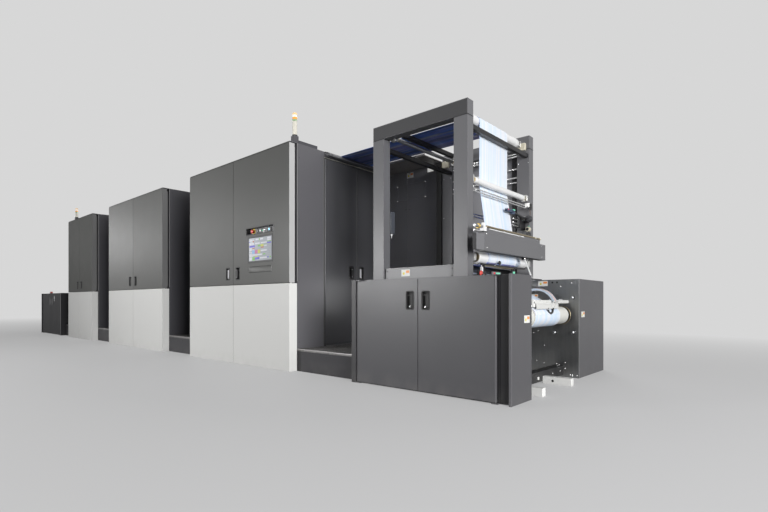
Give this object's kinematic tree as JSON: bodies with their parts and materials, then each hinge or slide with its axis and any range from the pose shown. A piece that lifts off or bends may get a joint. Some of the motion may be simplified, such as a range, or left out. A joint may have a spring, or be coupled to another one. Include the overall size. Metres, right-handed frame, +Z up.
{
  "type": "production inkjet press",
  "caption": "Web-fed inkjet press line with unwinder, doored press modules, grated walkways and a rewinder under a portal frame carrying the paper web.",
  "frame": {"origin": "on the floor at the middle of the machine's bounding box", "axes": "+X from the unwinder to the rewinder, +Y from the operator side to the drive side, +Z up"},
  "size_m": [12.11, 2.3, 2.75],
  "materials": {
    "door_grey": "satin fine texture",
    "housing_dark": "satin",
    "panel_white": "satin",
    "cabinet_grey": "satin fine texture",
    "frame_grey": "satin",
    "end_grey": "satin",
    "black_steel": "semi gloss",
    "white_paint": "gloss",
    "bare_steel": "brushed",
    "grating_steel": "galvanised",
    "roller_steel": "ground",
    "roller_white": "satin",
    "aluminium": "machined",
    "chuck_white": "satin",
    "paper": "coated",
    "screen": "gloss",
    "control_black": "matt",
    "lamp_white": "translucent",
    "clear_plastic": "clear",
    "sensor_grey": "matt"
  },
  "bodies": {
    "root": {"unwinder_cabinet": "cabinet_grey", "supply_roll": "paper", "housing_1": "housing_dark", "housing_2": "housing_dark", "housing_3": "housing_dark", "lower_panels": "panel_white", "rear_upper_panels": "door_grey", "end_panels": "end_grey", "signal_towers": "lamp_white", "walkway_steps": "housing_dark", "walkway_gratings": "grating_steel", "rear_walls": "housing_dark", "rewinder_cabinet": "cabinet_grey", "rear_cabinets": "cabinet_grey", "side_plates": "bare_steel", "floor_beams": "black_steel", "base_rails": "white_paint", "portal_posts": "frame_grey", "portal_beams": "frame_grey", "portal_sill": "frame_grey", "cross_bars": "black_steel", "roller_blocks": "aluminium", "guide_rods": "roller_steel", "splice_cover": "frame_grey", "sensor_units": "sensor_grey", "rider_beam": "aluminium", "roll_guard": "clear_plastic", "paper_web": "paper"},
    "module_1_door_left": {"front_door_1_left": "door_grey"},
    "module_1_door_right": {"front_door_1_right": "door_grey"},
    "module_2_door_left": {"front_door_2_left": "door_grey"},
    "module_2_door_right": {"front_door_2_right": "door_grey"},
    "module_3_door_left": {"front_door_3_left": "door_grey"},
    "module_3_door_right": {"front_door_3_right": "door_grey", "touch_screen": "screen", "control_strip": "control_black"},
    "module_3_end_door_front": {"end_door_front": "end_grey"},
    "module_3_end_door_rear": {"end_door_rear": "end_grey"},
    "rewinder_left_door": {"rewinder_door_left": "cabinet_grey"},
    "rewinder_right_door": {"rewinder_door_right": "cabinet_grey"},
    "unwinder_left_door": {"unwinder_door_left": "cabinet_grey"},
    "unwinder_right_door": {"unwinder_door_right": "cabinet_grey"},
    "exit_roller_body": {"exit_roller": "roller_steel"},
    "lead_roller_body": {"lead_roller": "roller_steel"},
    "top_roller_body": {"top_roller": "roller_steel"},
    "idler_roller_body": {"idler_roller": "roller_white"},
    "drum_roller_body": {"drum_roller": "roller_steel"},
    "rewound_roll": {"rewind_roll": "paper", "rewind_core": "chuck_white"}
  },
  "joints": [
    {"name": "module_1_door_left_hinge", "type": "hinge", "parent": "root", "child": "module_1_door_left", "pos_m": [-3.915, -1.115, 0.928], "axis": [0, 0, -1], "range_deg": [0, 110]},
    {"name": "module_1_door_right_hinge", "type": "hinge", "parent": "root", "child": "module_1_door_right", "pos_m": [-2.495, -1.115, 0.928], "axis": [0, 0, 1], "range_deg": [0, 110]},
    {"name": "module_2_door_left_hinge", "type": "hinge", "parent": "root", "child": "module_2_door_left", "pos_m": [-1.585, -1.115, 0.928], "axis": [0, 0, -1], "range_deg": [0, 110]},
    {"name": "module_2_door_right_hinge", "type": "hinge", "parent": "root", "child": "module_2_door_right", "pos_m": [0.525, -1.115, 0.928], "axis": [0, 0, 1], "range_deg": [0, 110]},
    {"name": "module_3_door_left_hinge", "type": "hinge", "parent": "root", "child": "module_3_door_left", "pos_m": [1.415, -1.115, 0.928], "axis": [0, 0, -1], "range_deg": [0, 110]},
    {"name": "module_3_door_right_hinge", "type": "hinge", "parent": "root", "child": "module_3_door_right", "pos_m": [3.535, -1.115, 0.928], "axis": [0, 0, 1], "range_deg": [0, 110]},
    {"name": "end_door_front_hinge", "type": "hinge", "parent": "root", "child": "module_3_end_door_front", "pos_m": [3.539, -0.645, 0.247], "axis": [0, 0, -1], "range_deg": [0, 100]},
    {"name": "end_door_rear_hinge", "type": "hinge", "parent": "root", "child": "module_3_end_door_rear", "pos_m": [3.539, 0.367, 0.247], "axis": [0, 0, 1], "range_deg": [0, 90]},
    {"name": "rewinder_door_left_hinge", "type": "hinge", "parent": "root", "child": "rewinder_left_door", "pos_m": [4.551, -1.135, 0.014], "axis": [0, 0, -1], "range_deg": [0, 100]},
    {"name": "rewinder_door_right_hinge", "type": "hinge", "parent": "root", "child": "rewinder_right_door", "pos_m": [5.905, -1.135, 0.014], "axis": [0, 0, 1], "range_deg": [0, 100]},
    {"name": "unwinder_door_left_hinge", "type": "hinge", "parent": "root", "child": "unwinder_left_door", "pos_m": [-5.905, -1.135, 0.014], "axis": [0, 0, -1], "range_deg": [0, 100]},
    {"name": "unwinder_door_right_hinge", "type": "hinge", "parent": "root", "child": "unwinder_right_door", "pos_m": [-4.551, -1.135, 0.014], "axis": [0, 0, 1], "range_deg": [0, 100]},
    {"name": "exit_roller_spin", "type": "hinge", "parent": "root", "child": "exit_roller_body", "pos_m": [3.605, -0.129, 2.3596], "axis": [0, 1, 0], "continuous": true},
    {"name": "lead_roller_spin", "type": "hinge", "parent": "root", "child": "lead_roller_body", "pos_m": [4.57, -0.129, 2.313], "axis": [0, 1, 0], "continuous": true},
    {"name": "top_roller_spin", "type": "hinge", "parent": "root", "child": "top_roller_body", "pos_m": [5.345, -0.129, 2.3406], "axis": [0, 1, 0], "continuous": true},
    {"name": "idler_roller_spin", "type": "hinge", "parent": "root", "child": "idler_roller_body", "pos_m": [5.415, -0.129, 1.78006], "axis": [0, 1, 0], "continuous": true},
    {"name": "drum_roller_spin", "type": "hinge", "parent": "root", "child": "drum_roller_body", "pos_m": [5.435, -0.129, 1.11], "axis": [0, 1, 0], "continuous": true},
    {"name": "rewound_roll_spin", "type": "hinge", "parent": "root", "child": "rewound_roll", "pos_m": [5.815, -0.129, 0.6], "axis": [0, 1, 0], "continuous": true}
  ]
}
